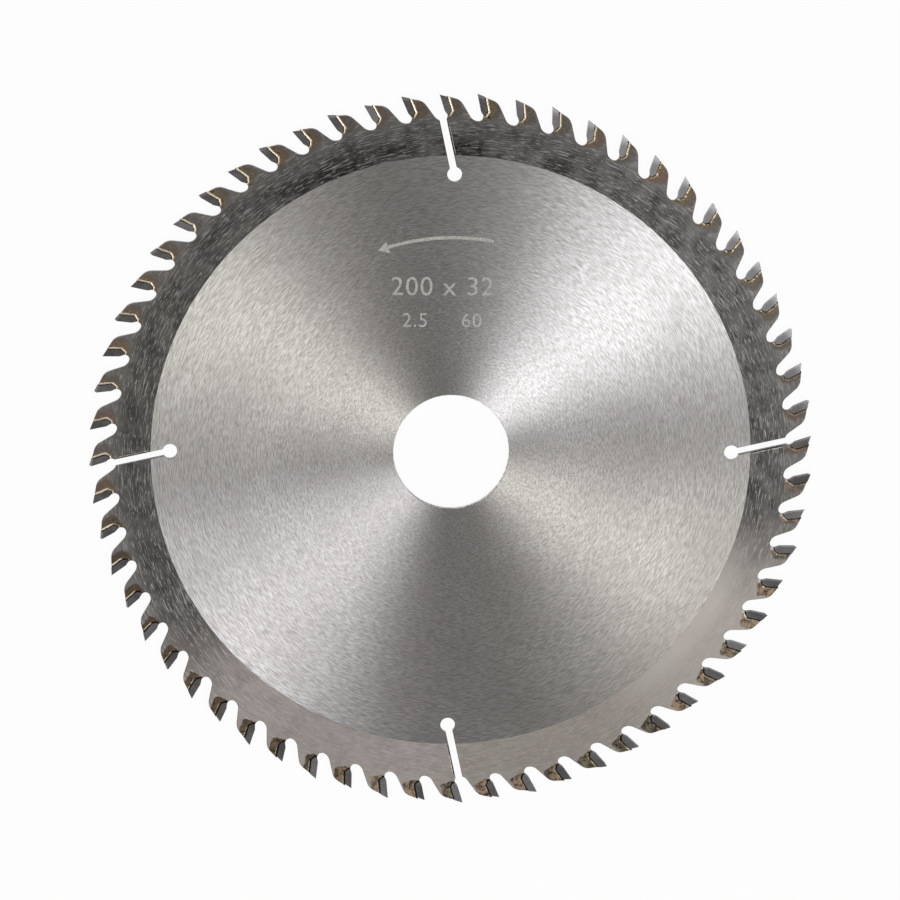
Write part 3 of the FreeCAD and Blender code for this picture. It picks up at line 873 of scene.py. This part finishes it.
class SAWBLADE_OT_slot_burrs(bpy.types.Operator):
    """Raises the thin burr, with its dark foot, that runs along one side of each expansion slot"""

    bl_idname = "saw_blade.slot_burrs"
    bl_label = "Slot burrs"

    def execute(self, context):
        length = sizes().burr_length
        width = sizes().burr_width
        height = sizes().burr_height
        ridge_edge = width * (BURR_RIDGE_SHARE - 0.5)
        bpy.ops.object.select_all(action="DESELECT")
        bpy.ops.mesh.primitive_cube_add(size=1.0, scale=(length, width, 2 * height))
        burr = context.object
        bpy.ops.object.transform_apply(location=False, rotation=False, scale=True)
        bpy.ops.object.mode_set(mode="EDIT")
        bpy.ops.mesh.select_all(action="SELECT")
        bpy.ops.mesh.bisect(plane_co=(0, ridge_edge, 0), plane_no=(0, 1, 0))
        for cut in range(1, BURR_SECTIONS):
            bpy.ops.mesh.select_all(action="SELECT")
            place = (cut / BURR_SECTIONS - 0.5) * length
            bpy.ops.mesh.bisect(plane_co=(place, 0, 0), plane_no=(1, 0, 0))
        bpy.ops.mesh.select_all(action="SELECT")
        bpy.ops.transform.vertex_random(offset=width * BURR_UNEVENNESS_SHARE, seed=BURR_SEED)
        bpy.ops.mesh.select_all(action="DESELECT")
        bpy.ops.object.mode_set(mode="OBJECT")
        # The side towards the slot is pressed down into the burr's dark foot
        pressed_edge = ridge_edge + width * BURR_PRESSED_SHARE
        for corner in burr.data.vertices:
            corner.select = corner.co.y > pressed_edge and corner.co.z > 0
        bpy.ops.object.mode_set(mode="EDIT")
        bpy.ops.transform.translate(value=(0, 0, -BURR_PRESS_SHARE * height))
        bpy.ops.object.mode_set(mode="OBJECT")
        ridge = rubbed_material("Tool steel, drawn up bare", linear("#A3A09C"), linear("#EDEAE5"))
        burr.data.materials.append(ridge)
        burr.data.materials.append(foot_material())
        for face in burr.data.polygons:
            face.material_index = 1 if face.center.y > ridge_edge else 0

        lean = math.radians(SLOT_LEAN_ANGLE)
        side = -(SLOT_WIDTH / 2 + sizes().edge_width + width / 2)
        along = BURR_START + length / 2
        burr.location = (
            SLOT_HOLE_DISTANCE + along * math.cos(lean) - side * math.sin(lean),
            along * math.sin(lean) + side * math.cos(lean),
            RIM_FACE_HEIGHT,
        )
        burr.rotation_euler = (0, 0, lean)
        keep_place()
        for number in range(SLOT_COUNT):
            select_only(burr)
            bpy.ops.object.duplicate()
            piece = context.object
            piece.name = f"slot_burr_{number + 1}"
            piece.rotation_euler = (0, 0, math.tau * number / SLOT_COUNT)
            keep_place()
            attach(piece, BODY)
        bpy.data.objects.remove(burr)
        return {"FINISHED"}


# The camera stands where it shows the blade as the photograph does
CAMERA_PLACE = (-96.954 * MM, 401.455 * MM, 1932.317 * MM)
CAMERA_TURN = (-11.74686, -2.71509, 0.71708)
CAMERA_LENS = 285.84
CAMERA_SENSOR = 36.0
CAMERA_CLIP_START = 0.1
CAMERA_CLIP_END = 50.0
FLOOR_SIZE = 24.0

# Each lamp: name, angle of the ray that it draws on the ground face, power in watts and colour.
# A lamp draws its ray on both sides of the bore. Two lamps a little apart make one broad ray.
LAMPS = [
    ("right_lamp", 35.2, 26.7, "#FDFCFF"),
    ("left_lamp", 230.5, 28.2, "#FDFCFF"),
    ("far_lamp", 143.5, 16.8, "#FFFDF6"),
    ("near_lamp", 340.0, 16.8, "#FFFDF6"),
]
LAMP_TILT = 0.35
LAMP_DISTANCE = 3.0
LAMP_SIZE = 1.1
WORLD_COLOUR = "#FFFAF4"
WORLD_STRENGTH = 0.11


def lamp_place(ray_angle):
    """Place from which the ground face mirrors a lamp to the camera along a ray at that angle."""
    view = Vector(CAMERA_PLACE).normalized()
    angle = math.radians(ray_angle)
    between = Vector((LAMP_TILT * math.cos(angle), LAMP_TILT * math.sin(angle), 1.0)).normalized()
    return (between * (2 * between.dot(view)) - view) * LAMP_DISTANCE


class SAWBLADE_OT_stage(bpy.types.Operator):
    """Sets up the camera, the pale floor, the lamps and the plain world"""

    bl_idname = "saw_blade.stage"
    bl_label = "Stage"

    def execute(self, context):
        scene = context.scene
        bpy.ops.object.select_all(action="DESELECT")
        turn = [math.radians(angle) for angle in CAMERA_TURN]
        bpy.ops.object.camera_add(location=CAMERA_PLACE, rotation=turn)
        camera = context.object
        camera.name = "camera"
        camera.data.lens = CAMERA_LENS
        camera.data.sensor_width = CAMERA_SENSOR
        camera.data.clip_start = CAMERA_CLIP_START
        camera.data.clip_end = CAMERA_CLIP_END
        scene.camera = camera

        bpy.ops.mesh.primitive_plane_add(size=FLOOR_SIZE, location=(0, 0, FLOOR_HEIGHT))
        floor = context.object
        floor.name = "floor"
        floor.data.materials.append(floor_material())

        for name, ray_angle, power, colour in LAMPS:
            place = lamp_place(ray_angle)
            aim = (-place).to_track_quat("-Z", "Y").to_euler()
            bpy.ops.object.light_add(type="AREA", location=place, rotation=aim)
            lamp = context.object
            lamp.name = name
            lamp.data.shape = "DISK"
            lamp.data.size = LAMP_SIZE
            lamp.data.energy = power
            lamp.data.color = linear(colour)[:3]

        world = bpy.data.worlds.new("plain room")
        world.use_nodes = True
        backdrop = world.node_tree.nodes["Background"]
        backdrop.inputs["Color"].default_value = linear(WORLD_COLOUR)
        backdrop.inputs["Strength"].default_value = WORLD_STRENGTH
        scene.world = world
        scene.view_settings.view_transform = "Standard"
        return {"FINISHED"}


class SAWBLADE_PT_panel(bpy.types.Panel):
    """Lists the blade's pieces, sizes and colours"""

    bl_idname = "SAWBLADE_PT_panel"
    bl_label = "Saw blade"
    bl_space_type = "VIEW_3D"
    bl_region_type = "UI"
    bl_category = "Saw blade"

    def draw(self, context):
        for operator in OPERATORS:
            self.layout.operator(operator.bl_idname)
        for group in (sizes(), colours()):
            box = self.layout.box()
            for name in type(group).__annotations__:
                box.prop(group, name)


GROUPS = [BladeSizes, BladeColours]
OPERATORS = [
    SAWBLADE_OT_stage,
    SAWBLADE_OT_steel_body,
    SAWBLADE_OT_carbide_tips,
    SAWBLADE_OT_braze_joints,
    SAWBLADE_OT_etched_sizes,
    SAWBLADE_OT_slot_burrs,
]
CLASSES = GROUPS + OPERATORS + [SAWBLADE_PT_panel]


def register():
    for cls in CLASSES:
        bpy.utils.register_class(cls)
    bpy.types.Scene.saw_blade_sizes = bpy.props.PointerProperty(type=BladeSizes)
    bpy.types.Scene.saw_blade_colours = bpy.props.PointerProperty(type=BladeColours)


def unregister():
    del bpy.types.Scene.saw_blade_colours
    del bpy.types.Scene.saw_blade_sizes
    for cls in reversed(CLASSES):
        bpy.utils.unregister_class(cls)


def main():
    register()
    bpy.ops.saw_blade.stage()
    bpy.ops.saw_blade.steel_body()
    bpy.ops.saw_blade.carbide_tips()
    bpy.ops.saw_blade.braze_joints()
    bpy.ops.saw_blade.etched_sizes()
    bpy.ops.saw_blade.slot_burrs()


if __name__ == "__main__":
    main()
